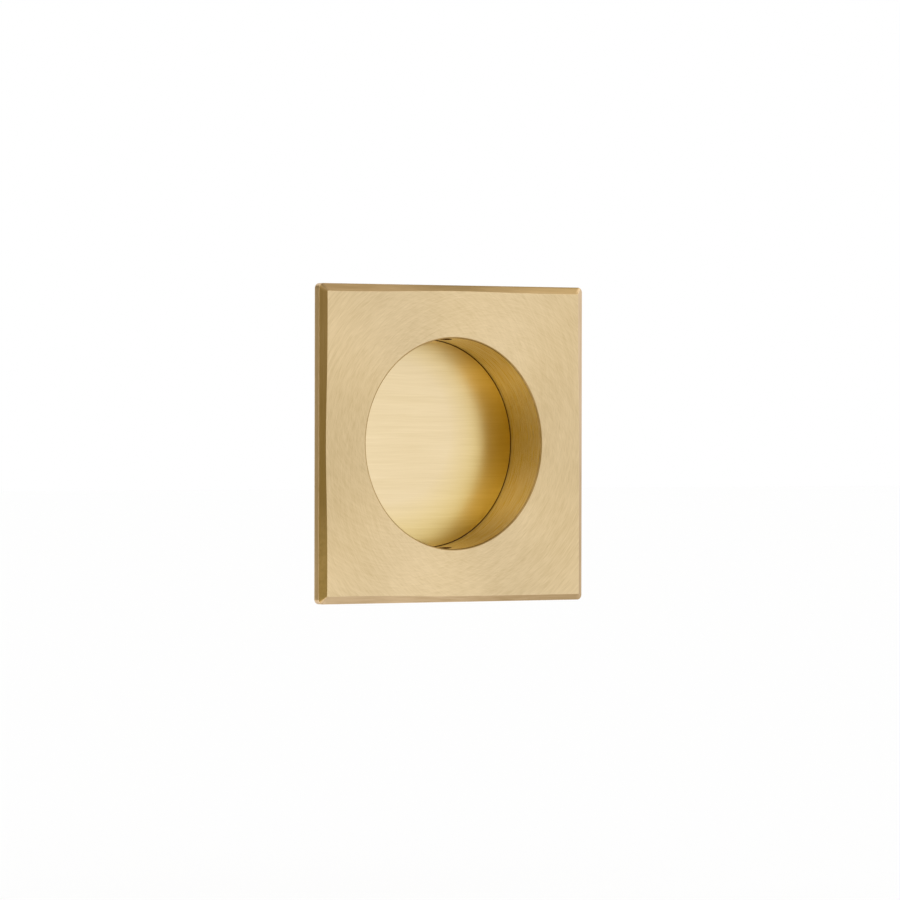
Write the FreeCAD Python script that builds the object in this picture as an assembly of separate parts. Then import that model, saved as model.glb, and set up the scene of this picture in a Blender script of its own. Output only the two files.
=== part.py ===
import FreeCAD, Part
import math
import os

os.makedirs("parts", exist_ok=True)

# Flush finger pull for a sliding pocket door. Sizes are in millimetres.
# +Z is up and the front faces -Y. The bore axis is the Y axis, and y = 0 is the
# plate's back face, which lies on the door.

# Square plate
plate_side = 63.5
plate_thickness = 2.4
bevel_width = 1.2
bevel_depth = 0.75
corner_radius = 1.0

# Finger cup: the bore, and the barrel round it that goes into the door
bore_radius = 21.1
cup_depth = 10.7
cup_wall = 3.5
rim_rounding = 0.3
barrel_lead_in = 0.5

# Floor of the cup: a disc that sits on a ledge
floor_thickness = 1.2
floor_gap = 0.12
ledge_width = 2.6
ledge_thickness = 1.2

# Slanted screw holes through the cup wall, one at the top and one at the bottom
screw_angles = (0.0, 180.0)
screw_entry_depth = 6.6
screw_lean = 60.0
screw_hole_diameter = 3.2
screw_head_diameter = 6.0
screw_head_sink = 0.9
countersink_angle = 90.0

# Places along Y that follow from those sizes
front_y = -plate_thickness
bevel_foot_y = front_y + bevel_depth
floor_front_y = front_y + cup_depth
ledge_front_y = floor_front_y + floor_thickness
barrel_back_y = ledge_front_y + ledge_thickness
barrel_radius = bore_radius + cup_wall

BORE_AXIS = FreeCAD.Vector(0, 1, 0)
ORIGIN = FreeCAD.Vector(0, 0, 0)
FULL_TURN = 360.0
QUARTER_TURN = FULL_TURN / 4


def square_wire(half_side, y):
    """A square outline centred on the bore axis, in the plane at y."""
    corners = [
        FreeCAD.Vector(-half_side, y, -half_side),
        FreeCAD.Vector(half_side, y, -half_side),
        FreeCAD.Vector(half_side, y, half_side),
        FreeCAD.Vector(-half_side, y, half_side),
    ]
    return Part.makePolygon(corners + corners[:1])


def turned(points, rounded=None):
    """A solid turned about the bore axis from (radius, y) points. rounded maps the index of a
    point to the middle of the arc that runs from it to the next point."""
    rounded = rounded or {}
    edges = []
    for i, start in enumerate(points):
        end = points[(i + 1) % len(points)]
        a = FreeCAD.Vector(start[0], start[1], 0)
        b = FreeCAD.Vector(end[0], end[1], 0)
        if i in rounded:
            middle = FreeCAD.Vector(rounded[i][0], rounded[i][1], 0)
            edges.append(Part.Arc(a, middle, b).toShape())
        else:
            edges.append(Part.LineSegment(a, b).toShape())
    return Part.Face(Part.Wire(edges)).revolve(ORIGIN, BORE_AXIS, FULL_TURN)


def make_plate():
    """The square plate: an upright edge, four bevels that meet in mitres at the corners, and a
    flat front face. Its four short corners are rounded right through the bevels."""
    half = plate_side / 2
    block = Part.Face(square_wire(half, bevel_foot_y)).extrude(FreeCAD.Vector(0, -bevel_foot_y, 0))
    bevels = Part.makeLoft(
        [square_wire(half, bevel_foot_y), square_wire(half - bevel_width, front_y)], True, True
    )
    square_plate = block.fuse(bevels).removeSplitter()
    prism = Part.Face(square_wire(half, front_y)).extrude(FreeCAD.Vector(0, plate_thickness, 0))
    corner_edges = [e for e in prism.Edges if e.BoundBox.YLength > plate_thickness / 2]
    return square_plate.common(prism.makeFillet(corner_radius, corner_edges))


def make_barrel():
    """The plain round barrel behind the plate, with a lead-in chamfer at its back."""
    return turned(
        [
            (0, bevel_foot_y),
            (barrel_radius, bevel_foot_y),
            (barrel_radius, barrel_back_y - barrel_lead_in),
            (barrel_radius - barrel_lead_in, barrel_back_y),
            (0, barrel_back_y),
        ]
    )


def make_cup_space():
    """What is bored out: the cup with its rounded rim, the seat for the floor, and the smaller
    hole that leaves the ledge."""
    ledge_radius = bore_radius - ledge_width
    bow = rim_rounding * (1 - math.cos(math.radians(QUARTER_TURN / 2)))
    return turned(
        [
            (0, front_y - plate_thickness),
            (bore_radius + rim_rounding, front_y - plate_thickness),
            (bore_radius + rim_rounding, front_y),
            (bore_radius, front_y + rim_rounding),
            (bore_radius, ledge_front_y),
            (ledge_radius, ledge_front_y),
            (ledge_radius, barrel_back_y + plate_thickness),
            (0, barrel_back_y + plate_thickness),
        ],
        rounded={2: (bore_radius + bow, front_y + bow)},
    )


def make_screw_space():
    """One screw hole as a cutter along +Z, with z = 0 where its axis crosses the bore wall: the
    head's recess, the countersink and the through hole."""
    head = screw_head_diameter / 2
    shank = screw_hole_diameter / 2
    sink_length = (head - shank) / math.tan(math.radians(countersink_angle / 2))
    through = 2 * cup_wall / math.sin(math.radians(screw_lean))
    recess = Part.makeCylinder(
        head, screw_head_diameter + screw_head_sink, FreeCAD.Vector(0, 0, -screw_head_diameter)
    )
    countersink = Part.makeCone(head, shank, sink_length, FreeCAD.Vector(0, 0, screw_head_sink))
    hole = Part.makeCylinder(shank, through, ORIGIN)
    return recess.fuse([countersink, hole])


def make_screw_spaces():
    """The cutters at their places: each leans back from the bore wall, outward and into the
    door."""
    spaces = []
    for angle in screw_angles:
        space = make_screw_space()
        space.rotate(ORIGIN, FreeCAD.Vector(1, 0, 0), screw_lean - QUARTER_TURN)
        space.translate(FreeCAD.Vector(0, front_y + screw_entry_depth, bore_radius))
        space.rotate(ORIGIN, BORE_AXIS, angle)
        spaces.append(space)
    return spaces


def make_pull_body():
    """The plate and the barrel, bored and drilled: one machined piece."""
    body = make_plate().fuse(make_barrel()).removeSplitter()
    body = body.cut(make_cup_space())
    return body.cut(make_screw_spaces())


def make_floor_disc():
    """The floor of the cup, with its joint gap to the wall, flat on the ledge."""
    return turned(
        [
            (0, floor_front_y),
            (bore_radius - floor_gap, floor_front_y),
            (bore_radius - floor_gap, ledge_front_y),
            (0, ledge_front_y),
        ]
    )


nodes = {
    "pull_body": make_pull_body(),
    "floor_disc": make_floor_disc(),
}
for name, shape in nodes.items():
    solid = shape.Solids[0]
    box = solid.BoundBox
    solid.exportStep(f"parts/{name}.step")
    print(
        name,
        len(shape.Solids),
        "solid",
        solid.isValid(),
        round(solid.Volume, 2),
        [round(v, 3) for v in (box.XMin, box.XMax, box.YMin, box.YMax, box.ZMin, box.ZMax)],
    )
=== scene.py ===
import math

import bpy
import numpy as np
from mathutils import Matrix, Vector


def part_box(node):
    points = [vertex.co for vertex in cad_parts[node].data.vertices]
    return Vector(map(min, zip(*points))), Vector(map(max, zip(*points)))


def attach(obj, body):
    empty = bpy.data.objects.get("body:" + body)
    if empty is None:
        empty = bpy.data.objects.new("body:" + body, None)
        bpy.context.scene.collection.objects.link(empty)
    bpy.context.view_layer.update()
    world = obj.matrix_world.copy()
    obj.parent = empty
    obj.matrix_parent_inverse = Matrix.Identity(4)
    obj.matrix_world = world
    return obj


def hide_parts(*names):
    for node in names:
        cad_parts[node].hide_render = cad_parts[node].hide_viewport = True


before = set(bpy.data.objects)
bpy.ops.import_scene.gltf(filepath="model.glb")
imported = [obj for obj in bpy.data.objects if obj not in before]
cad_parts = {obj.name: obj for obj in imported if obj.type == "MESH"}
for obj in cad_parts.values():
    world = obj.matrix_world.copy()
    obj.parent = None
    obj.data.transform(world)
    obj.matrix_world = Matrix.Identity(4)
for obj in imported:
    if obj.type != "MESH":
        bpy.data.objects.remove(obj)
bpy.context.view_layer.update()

# A square satin brass flush pull: a bevelled plate with a bored cup behind it, all one body, and
# the cup's separate floor disc. Metres, +Z up, front facing -Y, y = 0 on the face of the door.
mm = 0.001
bodyLow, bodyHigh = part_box("pull_body")
discLow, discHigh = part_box("floor_disc")
print("frame loaded")


# Small helpers for node trees

def feed(tree, socket, term):
    if isinstance(term, (tuple, int, float)):
        socket.default_value = term
    else:
        tree.links.new(term, socket)


def addNode(tree, kind, *terms, **settings):
    # A new node with its settings made and its first inputs fed with the terms.
    node = tree.nodes.new(kind)
    for name, value in settings.items():
        setattr(node, name, value)
    for socket, term in zip(node.inputs, terms):
        feed(tree, socket, term)
    return node


def addMath(tree, operation, *terms):
    return addNode(tree, "ShaderNodeMath", *terms, operation=operation).outputs[0]


def addSplit(tree, vector):
    return list(addNode(tree, "ShaderNodeSeparateXYZ", vector).outputs)


def addDistance(tree, first, second):
    # The length of the pair: the root of the sum of their squares.
    squares = [addMath(tree, "MULTIPLY", term, term) for term in (first, second)]
    return addMath(tree, "SQRT", addMath(tree, "ADD", *squares))


def addNoise(tree, vector, scale, detail, roughness):
    node = tree.nodes.new("ShaderNodeTexNoise")
    node.inputs["Scale"].default_value = scale
    node.inputs["Detail"].default_value = detail
    node.inputs["Roughness"].default_value = roughness
    tree.links.new(vector, node.inputs["Vector"])
    return node.outputs["Fac"]


def addRange(tree, value, fromLow, fromHigh, toLow, toHigh, shape="LINEAR"):
    return addNode(tree, "ShaderNodeMapRange", value, fromLow, fromHigh, toLow, toHigh,
                   interpolation_type=shape).outputs[0]


def addColourMix(tree, factor, first, second, blend="MIX"):
    node = addNode(tree, "ShaderNodeMix", data_type="RGBA", blend_type=blend)
    for index, term in ((0, factor), (6, first), (7, second)):
        feed(tree, node.inputs[index], term)
    return node.outputs[2]


def newGroup(name, inputs, outputs):
    tree = bpy.data.node_groups.new(name, "ShaderNodeTree")
    for socketName, kind in inputs:
        tree.interface.new_socket(name=socketName, in_out="INPUT", socket_type=kind)
    for socketName, kind in outputs:
        tree.interface.new_socket(name=socketName, in_out="OUTPUT", socket_type=kind)
    return tree, tree.nodes.new("NodeGroupInput"), tree.nodes.new("NodeGroupOutput")


def placeGroup(tree, group, terms):
    node = tree.nodes.new("ShaderNodeGroup")
    node.node_tree = group
    for name, term in terms.items():
        feed(tree, node.inputs[name], term)
    return node


# Effects that several finishes share

brushGrain = {"scale": 1.0, "detail": 3.0, "roughness": 0.62}
slowWaver = {"scale": 70.0, "detail": 1.0, "roughness": 0.5}


def buildTurnedBrushing():
    # Brush lines that run round an axis: a noise stretched along the turn. Its first coordinate
    # is the distance across the lines, the other two are the direction from the axis, so that
    # the lines close on themselves with no seam.
    tree, source, sink = newGroup(
        "turnedBrushing",
        [("Position", "NodeSocketVector"), ("Centre", "NodeSocketVector"),
         ("Across", "NodeSocketFloat"), ("Radial", "NodeSocketFloat"),
         ("Lines", "NodeSocketFloat"), ("Sweep", "NodeSocketFloat")],
        [("Streaks", "NodeSocketFloat")])
    given = source.outputs
    place = addNode(tree, "ShaderNodeVectorMath", given["Position"], given["Centre"],
                    operation="SUBTRACT").outputs[0]
    x, _, z = addSplit(tree, place)
    radius = addDistance(tree, x, z)
    across = addMath(tree, "MULTIPLY_ADD", radius, given["Radial"], given["Across"])
    turn = addNode(
        tree, "ShaderNodeCombineXYZ",
        addMath(tree, "MULTIPLY", across, given["Lines"]),
        addMath(tree, "MULTIPLY", addMath(tree, "DIVIDE", x, radius), given["Sweep"]),
        addMath(tree, "MULTIPLY", addMath(tree, "DIVIDE", z, radius), given["Sweep"])).outputs[0]
    tree.links.new(addNoise(tree, turn, **brushGrain), sink.inputs["Streaks"])
    return tree


def buildStraightBrushing():
    # Brush lines along X: a noise squeezed across the lines, with a slow waver so that they
    # aren't ruled.
    tree, source, sink = newGroup(
        "straightBrushing",
        [("Position", "NodeSocketVector"), ("Lines", "NodeSocketFloat"),
         ("Sweep", "NodeSocketFloat"), ("Waver", "NodeSocketFloat")],
        [("Streaks", "NodeSocketFloat")])
    given = source.outputs
    x, y, z = addSplit(tree, given["Position"])
    slow = addNoise(tree, given["Position"], **slowWaver)
    height = addMath(tree, "MULTIPLY_ADD", slow, given["Waver"], z)
    line = addNode(
        tree, "ShaderNodeCombineXYZ",
        addMath(tree, "MULTIPLY", x, given["Sweep"]),
        addMath(tree, "MULTIPLY", height, given["Lines"]),
        addMath(tree, "MULTIPLY", y, given["Sweep"])).outputs[0]
    tree.links.new(addNoise(tree, line, **brushGrain), sink.inputs["Streaks"])
    return tree


satin = {
    "noiseSpan": (0.3, 0.7),  # the noise values that give the darkest and the palest metal
    "streakShare": 0.75,  # of the tone, and the clouds have the rest
    "cloud": {"scale": 55.0, "detail": 2.0, "roughness": 0.5},
    "wear": {"scale": 900.0, "detail": 2.0, "roughness": 0.6},
    "wearSpan": (0.3, 0.6),
    "wearShown": (0.3, 1.0),
}


def buildSatinTone():
    # Turns streaks into a satin metal's colour, roughness and height, with soft clouds over it
    # and a patchy paler colour where an edge is rubbed.
    tree, source, sink = newGroup(
        "satinTone",
        [("Position", "NodeSocketVector"), ("Streaks", "NodeSocketFloat"),
         ("Edge", "NodeSocketFloat"), ("Dark", "NodeSocketColor"), ("Light", "NodeSocketColor"),
         ("Rubbed", "NodeSocketColor"), ("Smooth", "NodeSocketFloat"),
         ("Rough", "NodeSocketFloat")],
        [("Colour", "NodeSocketColor"), ("Roughness", "NodeSocketFloat"),
         ("Height", "NodeSocketFloat")])
    given, share = source.outputs, satin["streakShare"]
    streaks = addRange(tree, given["Streaks"], *satin["noiseSpan"], 0.0, 1.0)
    cloud = addNoise(tree, given["Position"], **satin["cloud"])
    tone = addMath(tree, "ADD", addMath(tree, "MULTIPLY", streaks, share),
                   addRange(tree, cloud, *satin["noiseSpan"], 0.0, 1.0 - share))
    metal = addColourMix(tree, tone, given["Dark"], given["Light"])
    wear = addNoise(tree, given["Position"], **satin["wear"])
    rubbed = addMath(tree, "MULTIPLY", given["Edge"],
                     addRange(tree, wear, *satin["wearSpan"], *satin["wearShown"]))
    colour = addColourMix(tree, rubbed, metal, given["Rubbed"])
    rough = addRange(tree, streaks, 0.0, 1.0, given["Rough"], given["Smooth"])
    tree.links.new(colour, sink.inputs["Colour"])
    tree.links.new(rough, sink.inputs["Roughness"])
    tree.links.new(streaks, sink.inputs["Height"])
    return tree


turnedBrushing = buildTurnedBrushing()
straightBrushing = buildStraightBrushing()
satinTone = buildSatinTone()
print("node groups built")


# Finishes. smooth and rough are the roughness on the palest and the darkest streaks, lines says
# how close the brush lines are, in noise cells to the metre, and sweep how short they are.

brass = {
    "dark": (0.74, 0.565, 0.315, 1.0),
    "light": (0.86, 0.68, 0.41, 1.0),
    "rubbed": (0.90, 0.73, 0.46, 1.0),
    "bumpDepth": 0.02 * mm,
}


def startMaterial(name):
    material = bpy.data.materials.new(name)
    material.use_nodes = True
    tree = material.node_tree
    shader = tree.nodes["Principled BSDF"]
    shader.inputs["Metallic"].default_value = 1.0
    position = tree.nodes.new("ShaderNodeTexCoord").outputs["Object"]
    return material, tree, shader, position


def addEdgeMask(tree):
    return addNode(tree, "ShaderNodeAttribute", attribute_name="edgeBreak").outputs["Fac"]


def addTurnedLines(tree, position, across, radial, lines, sweep, centre=(0.0, 0.0, 0.0)):
    return placeGroup(tree, turnedBrushing, {
        "Position": position, "Centre": centre, "Across": across, "Radial": radial,
        "Lines": lines, "Sweep": sweep}).outputs[0]


def finishMaterial(tree, shader, position, streaks, edge, look):
    # Contrast is taken about 0.5, the middle of the noise.
    contrast = look.get("contrast", 1.0)
    streaks = addMath(tree, "MULTIPLY_ADD", streaks, contrast, 0.5 - 0.5 * contrast)
    tone = placeGroup(tree, satinTone, {
        "Position": position, "Streaks": streaks, "Edge": edge,
        "Dark": look.get("dark", brass["dark"]), "Light": look.get("light", brass["light"]),
        "Rubbed": look.get("rubbed", brass["rubbed"]),
        "Smooth": look["smooth"], "Rough": look["rough"]})
    bump = tree.nodes.new("ShaderNodeBump")
    bump.inputs["Strength"].default_value = look["relief"]
    bump.inputs["Distance"].default_value = brass["bumpDepth"]
    tangent = addNode(tree, "ShaderNodeTangent", direction_type="UV_MAP", uv_map="brush")
    tree.links.new(tone.outputs["Colour"], shader.inputs["Base Color"])
    tree.links.new(tone.outputs["Roughness"], shader.inputs["Roughness"])
    tree.links.new(tone.outputs["Height"], bump.inputs["Height"])
    tree.links.new(bump.outputs["Normal"], shader.inputs["Normal"])
    tree.links.new(tangent.outputs["Tangent"], shader.inputs["Tangent"])
    shader.inputs["Anisotropic"].default_value = look["anisotropy"]


faceLook = {
    "smooth": 0.29, "rough": 0.41, "relief": 0.4, "anisotropy": 0.85,
    "dark": (0.68, 0.52, 0.285, 1.0), "light": (0.91, 0.72, 0.45, 1.0),
    # Centre, lines and sweep of each set of arcs
    "sweeps": [((0.0, 0.0, 0.0), 4800.0, 11.0),
               ((9.0 * mm, 0.0, -6.0 * mm), 3800.0, 9.0),
               ((-11.0 * mm, 0.0, 8.0 * mm), 2800.0, 7.0)],
}


def makeFaceFinish():
    # The face is brushed in arcs about the cup, with stray arcs about points beside its centre.
    material, tree, shader, position = startMaterial("brassFace")
    total = 0.0
    for centre, lines, sweep in faceLook["sweeps"]:
        arcs = addTurnedLines(tree, position, 0.0, 1.0, lines, sweep, centre)
        total = addMath(tree, "ADD", total, arcs)
    streaks = addMath(tree, "DIVIDE", total, float(len(faceLook["sweeps"])))
    finishMaterial(tree, shader, position, streaks, addEdgeMask(tree), faceLook)
    return material


edgeLook = {
    "smooth": 0.30, "rough": 0.40, "relief": 0.15, "anisotropy": 0.6,
    # Darker than the face's brass: painted shade for the dark surroundings that the bevels
    # reflect
    "dark": (0.49, 0.335, 0.165, 1.0), "light": (0.80, 0.60, 0.385, 1.0),
    "rubbed": (0.96, 0.73, 0.50, 1.0),
    "lines": 2600.0, "sweep": 6.0, "contrast": 0.5, "uneven": 420.0,
    # Where each fades in or out: the bevels by y, the pale patch by x and by z
    "bevelFoot": (-1.75 * mm, -1.60 * mm),
    "lowPaleSide": (-30.0 * mm, -30.6 * mm),
    "lowPaleEnd": (-12.0 * mm, -24.0 * mm),
}


def makeEdgeFinish():
    # Bevels and sides are brushed along the plate's edges: the UV map's first value is the way
    # across the lines. Their brass is darker than the face's, painted shade for the dark that the
    # bevels reflect. Each bevel is a little brighter towards one end, by x times z, and the left
    # one is paler over its lower part.
    material, tree, shader, position = startMaterial("brassEdges")
    uv = addNode(tree, "ShaderNodeUVMap", uv_map="brush")
    across = addSplit(tree, uv.outputs["UV"])[0]
    streaks = addTurnedLines(tree, position, across, 0.0, edgeLook["lines"], edgeLook["sweep"])
    x, depth, z = addSplit(tree, position)
    onBevel = addRange(tree, depth, *edgeLook["bevelFoot"], 1.0, 0.0)
    uneven = addMath(tree, "MULTIPLY", addMath(tree, "MULTIPLY", x, z), onBevel)
    streaks = addMath(tree, "MULTIPLY_ADD", uneven, edgeLook["uneven"], streaks)
    lowPale = addMath(tree, "MULTIPLY", addRange(tree, x, *edgeLook["lowPaleSide"], 0.0, 1.0),
                    addRange(tree, z, *edgeLook["lowPaleEnd"], 0.0, 1.0))
    lowPale = addMath(tree, "MULTIPLY", lowPale, onBevel)
    wornOrPaler = addMath(tree, "MAXIMUM", addEdgeMask(tree), lowPale)
    finishMaterial(tree, shader, position, streaks, wornOrPaler, edgeLook)
    return material


# The cup's rounded rim is coloured darker than the faces that it joins: painted shade for the
# thin shadow line along the rim.
rimLook = {
    "smooth": 0.36, "rough": 0.46, "relief": 0.2, "anisotropy": 0.0,
    "dark": (0.42, 0.28, 0.11, 1.0), "light": (0.56, 0.38, 0.17, 1.0),
    "lines": 2600.0, "sweep": 6.0,
}

# The bored wall is brushed, with lines that drift a little in depth.
wallLook = {
    "smooth": 0.34, "rough": 0.48, "relief": 1.0, "anisotropy": 0.8,
    "dark": (0.80, 0.57, 0.13, 1.0), "light": (0.96, 0.79, 0.48, 1.0),
    "lines": 5400.0, "sweep": 4.0, "contrast": 2.3,
    "waver": 0.3 * mm, "drift": {"scale": 45.0, "detail": 1.0, "roughness": 0.5},
}

# The hidden side is left as turned.
backLook = {
    "smooth": 0.42, "rough": 0.55, "relief": 0.2, "anisotropy": 0.4,
    "lines": 1600.0, "sweep": 1.6,
}

# The screw holes and the joint round the floor are drilled and cut, and coloured much darker:
# painted shade for the shadow deep in the holes and in the joint's crevice.
shadedCutLook = {
    "smooth": 0.45, "rough": 0.6, "relief": 0.2, "anisotropy": 0.0,
    "dark": (0.20, 0.09, 0.045, 1.0), "light": (0.31, 0.15, 0.07, 1.0),
    "lines": 3000.0, "sweep": 2.0,
}


def makeTurnedFinish(name, look, rubbed):
    # Lines round the cup's axis. The way across them is the distance from the axis plus the
    # depth, so that they show on flat and on upright surfaces alike.
    material, tree, shader, position = startMaterial(name)
    across = addSplit(tree, position)[1]
    if "waver" in look:
        drift = addNoise(tree, position, **look["drift"])
        across = addMath(tree, "MULTIPLY_ADD", drift, look["waver"], across)
    streaks = addTurnedLines(tree, position, across, 1.0, look["lines"], look["sweep"])
    edge = addEdgeMask(tree) if rubbed else 0.0
    finishMaterial(tree, shader, position, streaks, edge, look)
    return material


floorLook = {
    "smooth": 0.28, "rough": 0.33, "relief": 0.12, "anisotropy": 0.6,
    "light": (0.93, 0.76, 0.485, 1.0), "dark": (0.845, 0.675, 0.40, 1.0),
    "fine": 3800.0, "coarse": 1500.0, "sweep": 70.0, "waver": 0.8 * mm, "contrast": 1.3,
    # The palest spot and the darker gold round it are a painted reflection of the cup's wall
    "paleSpot": (-8.0 * mm, 2.5 * mm), "paleReach": 14.0 * mm, "goldReach": 28.0 * mm,
    "gold": (0.93, 0.87, 0.40, 1.0),
}


def makeFloorFinish():
    # The floor is brushed in level lines, fine ones over coarse ones. Its colour is palest at the
    # upper left of its middle and turns a darker gold away from there: a painted reflection of
    # the cup's shaded wall, with painted light where it is palest.
    material, tree, shader, position = startMaterial("brassFloor")
    x, _, z = addSplit(tree, position)
    away = addDistance(tree, addMath(tree, "SUBTRACT", x, floorLook["paleSpot"][0]),
                       addMath(tree, "SUBTRACT", z, floorLook["paleSpot"][1]))
    paintedReflection = addRange(tree, away, floorLook["paleReach"], floorLook["goldReach"], 0.0, 1.0)
    look = dict(floorLook)
    for tone in ("dark", "light"):
        look[tone] = addColourMix(tree, paintedReflection, floorLook[tone], floorLook["gold"], "MULTIPLY")
    layers = [placeGroup(tree, straightBrushing, {
        "Position": position, "Lines": floorLook[lines], "Sweep": floorLook["sweep"],
        "Waver": floorLook["waver"]}).outputs[0] for lines in ("fine", "coarse")]
    streaks = addMath(tree, "DIVIDE", addMath(tree, "ADD", *layers), float(len(layers)))
    finishMaterial(tree, shader, position, streaks, 0.0, look)
    return material


finishes = {
    "face": makeFaceFinish(),
    "edge": makeEdgeFinish(),
    "rim": makeTurnedFinish("brassRim", rimLook, False),
    "wall": makeTurnedFinish("brassWall", wallLook, True),
    "back": makeTurnedFinish("brassBack", backLook, True),
    "drilled": makeTurnedFinish("brassShadedCut", shadedCutLook, False),
    "floor": makeFloorFinish(),
}
print("finishes built")


# Small helpers for meshes

sharpAngle = math.radians(28)


def newObject(name, data):
    piece = bpy.data.objects.new(name, data)
    bpy.context.scene.collection.objects.link(piece)
    return piece


def newMesh(name, points, faces, uv, wear, materials, kinds):
    # uv holds one pair for each corner of each face, in the faces' order.
    mesh = bpy.data.meshes.new(name)
    mesh.from_pydata(points.tolist(), [], faces)
    layer = mesh.uv_layers.new(name="brush")
    layer.data.foreach_set("uv", uv.astype(np.float32).ravel())
    wornOrPaler = mesh.attributes.new("edgeBreak", "FLOAT", "POINT")
    wornOrPaler.data.foreach_set("value", wear.astype(np.float32))
    for material in materials:
        mesh.materials.append(material)
    mesh.polygons.foreach_set("material_index", kinds.astype(np.int32))
    mesh.polygons.foreach_set("use_smooth", np.ones(len(faces), bool))
    mesh.validate()
    mesh.update()
    return newObject(name, mesh)


def turnSection(reach, height, around):
    # A section carried round Z: x = reach times cos, y = reach times sin, z = height. There are
    # quads between its rings, and at each end a fan of triangles to a point on the axis.
    angles = np.linspace(0, 2 * np.pi, around, endpoint=False)
    rings = np.stack([reach[:, None] * np.cos(angles), reach[:, None] * np.sin(angles),
                      np.broadcast_to(height[:, None], (len(reach), around))], axis=2)
    points = np.vstack([rings.reshape(-1, 3), [[0, 0, height[0]], [0, 0, height[-1]]]])
    i, j = np.meshgrid(np.arange(len(reach) - 1), np.arange(around), indexing="ij")
    nextJ = (j + 1) % around
    sides = np.stack([i * around + j, i * around + nextJ, (i + 1) * around + nextJ,
                      (i + 1) * around + j], axis=2).reshape(-1, 4)
    ring = np.arange(around)
    nextRing = (ring + 1) % around
    last = (len(reach) - 1) * around
    low = np.stack([np.full(around, len(points) - 2), nextRing, ring], axis=1)
    high = np.stack([np.full(around, len(points) - 1), last + ring, last + nextRing], axis=1)
    return points, sides, low, high


# The pull's body

pullBody = {
    "halfSide": bodyHigh.x,
    "frontY": bodyLow.y,
    "doorY": 0.0,
    "barrelBackY": bodyHigh.y,
    "ledgeY": discHigh.y,
    "floorY": discLow.y,
    "bevelWidth": 1.2 * mm,
    "bevelDepth": 0.75 * mm,
    "cornerRadius": 1.0 * mm,
    "faceCornerRadius": 0.15 * mm,
    # How much wider the bevels are ground at the four corners, clockwise from the upper right
    "cornerGrind": (0.33 * mm, 0.0, 0.49 * mm, 0.47 * mm),
    "boreRadius": 21.1 * mm,
    "barrelRadius": 24.6 * mm,
    "ledgeRadius": 18.5 * mm,
    "leadIn": 0.5 * mm,
    "rimRounding": 0.3 * mm,
    "edgeBreak": 0.10 * mm,
    "innerFillet": 0.15 * mm,
    "around": 420,
    "aroundCorner": 25,
    "cornerSweep": math.radians(1.7),
    "arcSteps": 6,
}


def ringAngles(cut):
    # Angles round the axis, evenly spaced, and closer together at the plate's four corners.
    even = np.linspace(0, 2 * np.pi, cut["around"], endpoint=False)
    corners = np.radians([45.0, 135.0, 225.0, 315.0])
    clear = np.abs(even[:, None] - corners).min(axis=1) > cut["cornerSweep"]
    close = corners[:, None] + np.linspace(-1, 1, cut["aroundCorner"]) * cut["cornerSweep"]
    return np.sort(np.concatenate([even[clear], close.ravel()]))


def squareReach(half, corner, angles):
    # How far a square with rounded corners reaches from its centre at each angle: half its side
    # over the larger of |cos| and |sin|, and in a corner the far root of ray meets circle.
    large = np.maximum(np.abs(np.cos(angles)), np.abs(np.sin(angles)))
    small = np.minimum(np.abs(np.cos(angles)), np.abs(np.sin(angles)))
    middle = half - corner
    flat = half / large
    lean = middle * (large + small)
    curved = lean + np.sqrt(np.maximum(lean ** 2 - 2 * middle ** 2 + corner ** 2, 0.0))
    return np.where(flat * small > middle, curved, flat)


def roundedCorner(before, here, after, radius, steps):
    # The arc that breaks one corner of an outline: it touches both straights, its centre lies
    # on the line that halves the corner, and its points are evenly spaced in angle.
    if radius == 0.0:
        return here[None, :]
    toBefore = (before - here) / np.linalg.norm(before - here)
    toAfter = (after - here) / np.linalg.norm(after - here)
    half = 0.5 * math.acos(float(np.clip(toBefore @ toAfter, -1, 1)))
    halving = (toBefore + toAfter) / np.linalg.norm(toBefore + toAfter)
    centre = here + halving * radius / math.sin(half)
    first = here + toBefore * radius / math.tan(half) - centre
    last = here + toAfter * radius / math.tan(half) - centre
    start = math.atan2(first[1], first[0])
    sweep = (math.atan2(last[1], last[0]) - start + math.pi) % (2 * math.pi) - math.pi
    turn = start + sweep * np.linspace(0, 1, steps + 1)
    return centre + radius * np.stack([np.cos(turn), np.sin(turn)], axis=1)


def bodyOutline(cut):
    # The body's section, once round: reach from the axis, y, how far the edge is broken, steps
    # in the straight after it, the finish of that straight, and whether the reach is a square's.
    half, front, back = cut["halfSide"], cut["frontY"], cut["barrelBackY"]
    barrel, bore, ledge = cut["barrelRadius"], cut["boreRadius"], cut["ledgeRadius"]
    broken = cut["edgeBreak"]
    return [
        (half - cut["bevelWidth"], front, broken, 3, "edge", True),
        (half, front + cut["bevelDepth"], broken, 3, "edge", True),
        (half, cut["doorY"], broken, 6, "back", True),
        (barrel, cut["doorY"], cut["innerFillet"], 24, "back", False),
        (barrel, back - cut["leadIn"], broken, 1, "back", False),
        (barrel - cut["leadIn"], back, broken, 4, "back", False),
        (ledge, back, broken, 1, "back", False),
        (ledge, cut["ledgeY"], 0.0, 2, "back", False),
        # The bore beside the floor disc takes painted shade for the joint's crevice
        (bore, cut["ledgeY"], 0.0, 3, "drilled", False),
        (bore, cut["floorY"], 0.0, 32, "wall", False),
        (bore, front, cut["rimRounding"], 24, "face", False),
    ]


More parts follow.
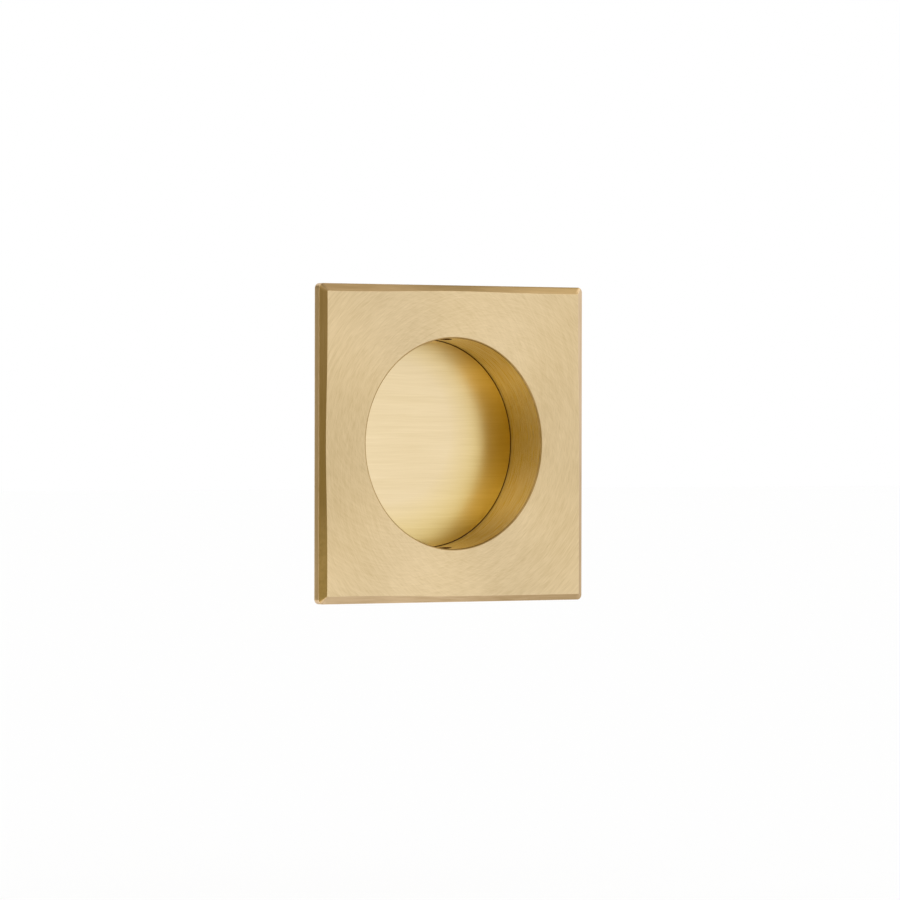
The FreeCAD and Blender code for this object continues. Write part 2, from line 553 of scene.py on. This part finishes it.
def bodyRings(cut, angles):
    # Rings round the axis, one for each point of the section. A straight's rings are blends of
    # the rings at its two ends, which carries the round rim out to the square edge.
    outline = bodyOutline(cut)
    points = np.array([row[:2] for row in outline])
    bevelSpan = [cut["halfSide"] - cut["bevelWidth"], cut["halfSide"]]
    cornerSpan = [cut["faceCornerRadius"], cut["cornerRadius"]]
    # The bevels are ground a little wider towards three corners, by the square of sin(2 angle).
    grind = np.array(cut["cornerGrind"])[(angles // (np.pi / 2)).astype(int) % 4]
    keys = []
    for i, (_, _, radius, steps, finish, square) in enumerate(outline):
        after = points[(i + 1) % len(points)]
        arc = roundedCorner(points[i - 1], points[i], after, radius, cut["arcSteps"])
        before = "rim" if radius == cut["rimRounding"] else outline[i - 1][4]
        for n, (reach, depth) in enumerate(arc):
            if square:
                corner = np.interp(reach, bevelSpan, cornerSpan)
                inner = np.interp(reach, bevelSpan, [1.0, 0.0])
                ground = inner * grind * np.sin(2 * angles) ** 2
                ring = squareReach(reach, corner, angles) - ground
            else:
                ring = np.full(len(angles), reach)
            wornOrPaler = radius == cut["edgeBreak"]
            wear = math.sin(math.pi * n / cut["arcSteps"]) if wornOrPaler else 0.0
            last = n == len(arc) - 1
            keys.append((ring, depth, wear, steps if last else 1, finish if last else before))
    rings, depths, wears, finish = [], [], [], []
    for i, (ring, depth, wear, steps, kind) in enumerate(keys):
        nextRing, nextDepth, nextWear = keys[(i + 1) % len(keys)][:3]
        for n in range(steps):
            t = n / steps
            rings.append(ring * (1 - t) + nextRing * t)
            depths.append(depth * (1 - t) + nextDepth * t)
            wears.append(wear * (1 - t) + nextWear * t)
            finish.append(kind)
    return np.array(rings), np.array(depths), np.array(wears), finish


def makeBody(cut):
    # The section carried once round the axis: x = reach times sin, z = reach times cos.
    angles = ringAngles(cut)
    rings, depths, wears, finish = bodyRings(cut, angles)
    rows, columns = rings.shape
    points = np.stack([rings * np.sin(angles), np.broadcast_to(depths[:, None], rings.shape),
                       rings * np.cos(angles)], axis=2)
    i, j = np.meshgrid(np.arange(rows), np.arange(columns), indexing="ij")
    nextI, nextJ = (i + 1) % rows, (j + 1) % columns
    faces = np.stack([i * columns + j, i * columns + nextJ, nextI * columns + nextJ,
                      nextI * columns + j], axis=2)
    # Brush map: u is the way across the lines, along which a brushed metal spreads its shine, and
    # v the turn round the axis. On the face u is the true distance from the axis, so that lines
    # of even u are circles there.
    turn = np.append(angles, angles[0] + 2 * np.pi) / (2 * np.pi)
    middle = rings[:, 0]
    stride = np.hypot(np.roll(middle, -1) - middle, np.roll(depths, -1) - depths)
    length = np.concatenate([[0.0], np.cumsum(stride)])
    onFace = np.array([kind == "face" for kind in finish])[:, None]
    near = np.where(onFace, rings, length[:-1, None])
    far = np.where(onFace, np.roll(rings, -1, axis=0), length[1:, None])
    v0, v1 = np.broadcast_to(turn[:-1], rings.shape), np.broadcast_to(turn[1:], rings.shape)
    uv = np.stack([np.stack([near, v0], 2), np.stack([np.roll(near, -1, 1), v1], 2),
                   np.stack([np.roll(far, -1, 1), v1], 2), np.stack([far, v0], 2)], axis=2)
    order = ["face", "edge", "rim", "wall", "back", "drilled"]
    kinds = np.repeat([order.index(kind) for kind in finish], columns)
    return newMesh("pullBody", points.reshape(-1, 3), faces.reshape(-1, 4).tolist(),
                   uv.reshape(-1, 2), np.repeat(wears, columns),
                   [finishes[kind] for kind in order], kinds)


# The slanted screw holes, one at the top and one at the bottom of the cup

screwHole = {
    "entryY": bodyLow.y + 6.6 * mm,
    "boreRadius": pullBody["boreRadius"],
    "lean": math.radians(60.0),
    "headRadius": 3.0 * mm,
    "holeRadius": 1.6 * mm,
    "headSink": 0.9 * mm,
    "mouthLength": 6.0 * mm,
    "throughLength": 8.0 * mm,
    "around": 64,
}


def makeScrewCutter(cut):
    # Head recess, 90 degree countersink and through hole as one turned shape along Z.
    sinkEnd = cut["headSink"] + (cut["headRadius"] - cut["holeRadius"])
    reach = np.array([cut["headRadius"], cut["headRadius"], cut["holeRadius"], cut["holeRadius"]])
    height = np.array([-cut["mouthLength"], cut["headSink"], sinkEnd, cut["throughLength"]])
    points, sides, low, high = turnSection(reach, height, cut["around"])
    mesh = bpy.data.meshes.new("screwCutter")
    mesh.from_pydata(points.tolist(), [], sides.tolist() + low.tolist() + high.tolist())
    # The holes' walls take the dark painted shade
    mesh.materials.append(finishes["drilled"])
    mesh.update()
    return newObject("screwCutter", mesh)


def cutScrewHoles(body, cut):
    for side in (1, -1):
        cutter = makeScrewCutter(cut)
        axis = Vector((0, math.cos(cut["lean"]), side * math.sin(cut["lean"])))
        place = Matrix.Translation((0, cut["entryY"], side * cut["boreRadius"]))
        cutter.data.transform(place @ axis.to_track_quat("Z", "X").to_matrix().to_4x4())
        modifier = body.modifiers.new("screwHole", "BOOLEAN")
        modifier.operation = "DIFFERENCE"
        modifier.solver = "EXACT"
        modifier.material_mode = "TRANSFER"
        modifier.object = cutter
        bpy.context.view_layer.objects.active = body
        bpy.ops.object.modifier_apply(modifier=modifier.name)
        bpy.data.objects.remove(cutter)


body = makeBody(pullBody)
cutScrewHoles(body, screwHole)
body.data.set_sharp_from_angle(angle=sharpAngle)
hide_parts("pull_body")
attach(body, "root")
print("pull body made")


# The cup's floor

floorDisc = {
    "radius": discHigh.x,
    "frontY": discLow.y,
    "backY": discHigh.y,
    "edgeBreak": 0.09 * mm,
    "around": 360,
    "rows": 16,
    "arcSteps": 5,
}


def makeDisc(cut):
    # A section turned about the axis: out along the front, round the two broken edges, and back
    # in along the rear. In its brush map u is z less the depth, across its level lines, and v is
    # x, along them.
    front, back, broken = cut["frontY"], cut["backY"], cut["edgeBreak"]
    flat = cut["radius"] - broken
    quarter = np.linspace(0, np.pi / 2, cut["arcSteps"] + 1)
    out = np.linspace(0, flat, cut["rows"] + 1)[1:-1]
    reach = np.concatenate([out, flat + broken * np.sin(quarter),
                            flat + broken * np.cos(quarter), out[::-1]])
    depth = np.concatenate([np.full(len(out), front), front + broken - broken * np.cos(quarter),
                            back - broken + broken * np.sin(quarter), np.full(len(out), back)])
    points, sides, low, high = turnSection(reach, depth, cut["around"])
    points = points[:, [1, 2, 0]]  # from a turn about Z to one about Y
    corners = np.concatenate([sides.ravel(), low.ravel(), high.ravel()])
    uv = np.stack([points[corners, 2] - points[corners, 1], points[corners, 0]], 1)
    # The front is brushed, the edge is coloured dark as painted shade for the joint's crevice,
    # and the back is left as turned.
    order = ["floor", "drilled", "back"]
    kinds = np.repeat([0, 1, 2], [len(out), 2 * cut["arcSteps"] + 1, len(out)])
    kinds = np.repeat(np.append(kinds, [0, 2]), cut["around"])
    return newMesh("floorDisc", points, sides.tolist() + low.tolist() + high.tolist(), uv,
                   np.zeros(len(points)), [finishes[kind] for kind in order], kinds)


disc = makeDisc(floorDisc)
disc.data.set_sharp_from_angle(angle=sharpAngle)
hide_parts("floor_disc")
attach(disc, "root")
print("floor disc made")


# Floor, backdrop and light

studio = {
    "floorDrop": 60 * mm,
    "floorSize": 6.0,
    "floorColour": (0.86, 0.86, 0.86, 1.0),
    "floorRoughness": 0.9,
    "floorShown": 0.7,  # how much of the floor's look to the camera is plain white
    "skyWhite": (1.0, 1.0, 1.0, 1.0),
    "soft": 1.15,
    "tent": 0.965,
    "fadeFrom": 0.3,
    "warmth": (1.0, 0.78, 0.10, 1.0),
    "warmSpread": 0.8,
    # Places in the white tent that are dimmer or brighter than the rest, as azimuth, elevation,
    # half angle, and the brightness there against the rest: the gap the camera looks in by, the
    # four dim corners, then the lit left side, the panel at the upper right and a faint one over
    # the camera.
    "places": [(-34, -3, 52, 0.15),
               (11, -65, 31, 0.06), (-129, 17, 38, 0.06), (83, 65, 35, 0.06), (13, 49, 27, 0.06),
               (-66, -17, 90, 1.60), (54, 40, 27, 1.60), (-18, 40, 26, 1.2)],
}


def addSeen(tree, path):
    # 1 where the camera sees a thing straight or through glass, and 0 for any other ray.
    return addMath(tree, "MAXIMUM", path["Is Camera Ray"], path["Is Transmission Ray"])


def makeFloor(cut):
    # To the camera the floor is part white and part lit, so that it keeps the pull's shadow.
    # The metal sees through it to the white tent, which shows below as it does above.
    mesh = bpy.data.meshes.new("studioFloor")
    size, z = cut["floorSize"], bodyLow.z - cut["floorDrop"]
    corners = [(-size, -size, z), (size, -size, z), (size, size, z), (-size, size, z)]
    mesh.from_pydata(corners, [], [(0, 1, 2, 3)])
    material = bpy.data.materials.new("studioFloor")
    material.use_nodes = True
    tree = material.node_tree
    shader = tree.nodes["Principled BSDF"]
    shader.inputs["Base Color"].default_value = cut["floorColour"]
    shader.inputs["Roughness"].default_value = cut["floorRoughness"]
    path = tree.nodes.new("ShaderNodeLightPath").outputs
    shown = addMath(tree, "MULTIPLY", addSeen(tree, path), cut["floorShown"])
    white = addNode(tree, "ShaderNodeEmission", cut["skyWhite"])
    clear = addNode(tree, "ShaderNodeBsdfTransparent")
    lit = addNode(tree, "ShaderNodeMixShader", shown, shader.outputs[0], white.outputs[0])
    surface = addNode(tree, "ShaderNodeMixShader", path["Is Glossy Ray"], lit.outputs[0],
                      clear.outputs[0])
    tree.links.new(surface.outputs[0], tree.nodes["Material Output"].inputs["Surface"])
    mesh.materials.append(material)
    floor = newObject("studioFloor", mesh)


def wayTo(azimuth, elevation):
    # The direction out to a place round the pull: 0, 0 is straight in front, and azimuth grows
    # to the right.
    a, e = math.radians(azimuth), math.radians(elevation)
    return math.sin(a) * math.cos(e), -math.cos(a) * math.cos(e), math.sin(e)


def makeWorld(cut):
    # A white tent with dimmer and brighter places. Each fades in from its half angle to a share
    # of it, by the cosine of the angle between the ray and the middle of the place. The dim ones
    # are warm, and their warmth reaches further out than their dark.
    world = bpy.data.worlds.new("studioWorld")
    bpy.context.scene.world = world
    world.use_nodes = True
    tree = world.node_tree
    background = tree.nodes["Background"]
    way = tree.nodes.new("ShaderNodeTexCoord").outputs["Generated"]
    tent = (cut["tent"],) * 3 + (1.0,)
    for azimuth, elevation, reach, share in cut["places"]:
        near = addNode(tree, "ShaderNodeVectorMath", way, wayTo(azimuth, elevation),
                       operation="DOT_PRODUCT").outputs["Value"]
        outer, inner = math.radians(reach), math.radians(reach * cut["fadeFrom"])
        fade = addRange(tree, near, math.cos(outer), math.cos(inner), 0.0, 1.0, "SMOOTHSTEP")
        tent = addColourMix(tree, fade, tent, (share,) * 3 + (1.0,), "MULTIPLY")
        if share < 1:
            warm = addMath(tree, "POWER", fade, cut["warmSpread"])
            tent = addColourMix(tree, warm, tent, cut["warmth"], "MULTIPLY")
    path = tree.nodes.new("ShaderNodeLightPath").outputs
    soft = addColourMix(tree, path["Is Glossy Ray"], (cut["soft"],) * 3 + (1.0,), tent)
    sky = addColourMix(tree, addSeen(tree, path), soft, cut["skyWhite"])
    tree.links.new(sky, background.inputs["Color"])
    background.inputs["Strength"].default_value = 1.0


# The camera stands to the pull's left at mid height, a little over a metre off, with a long lens.
# aside, below and ahead are where the centre of the plate's face is, seen from it.

cameraStand = {
    "yaw": math.radians(33.887),
    "pitch": math.radians(0.266),
    "roll": math.radians(0.10),
    "aside": 0.889 * mm,
    "below": -1.264 * mm,
    "ahead": 1125.9 * mm,
    "lens": 224.75,
    "sensor": 36.0,
    "clip": (0.05, 50.0),
}


def placeCamera(stand):
    sinYaw, cosYaw = math.sin(stand["yaw"]), math.cos(stand["yaw"])
    sinPitch, cosPitch = math.sin(stand["pitch"]), math.cos(stand["pitch"])
    sinRoll, cosRoll = math.sin(stand["roll"]), math.cos(stand["roll"])
    level = Vector((cosYaw, -sinYaw, 0))
    sinking = Vector((-sinYaw * sinPitch, -cosYaw * sinPitch, -cosPitch))
    forward = Vector((sinYaw * cosPitch, cosYaw * cosPitch, -sinPitch))
    right = cosRoll * level - sinRoll * sinking
    down = sinRoll * level + cosRoll * sinking
    face = Vector((0, pullBody["frontY"], 0))
    data = bpy.data.cameras.new("camera")
    data.sensor_width = stand["sensor"]
    data.lens = stand["lens"]
    data.clip_start, data.clip_end = stand["clip"]
    camera = newObject("camera", data)
    camera.matrix_world = Matrix((right, -down, -forward)).transposed().to_4x4()
    camera.location = face - (stand["aside"] * right + stand["below"] * down
                              + stand["ahead"] * forward)
    bpy.context.scene.camera = camera


makeFloor(studio)
makeWorld(studio)
placeCamera(cameraStand)
print("studio made")

bpy.context.scene.view_settings.view_transform = "Standard"
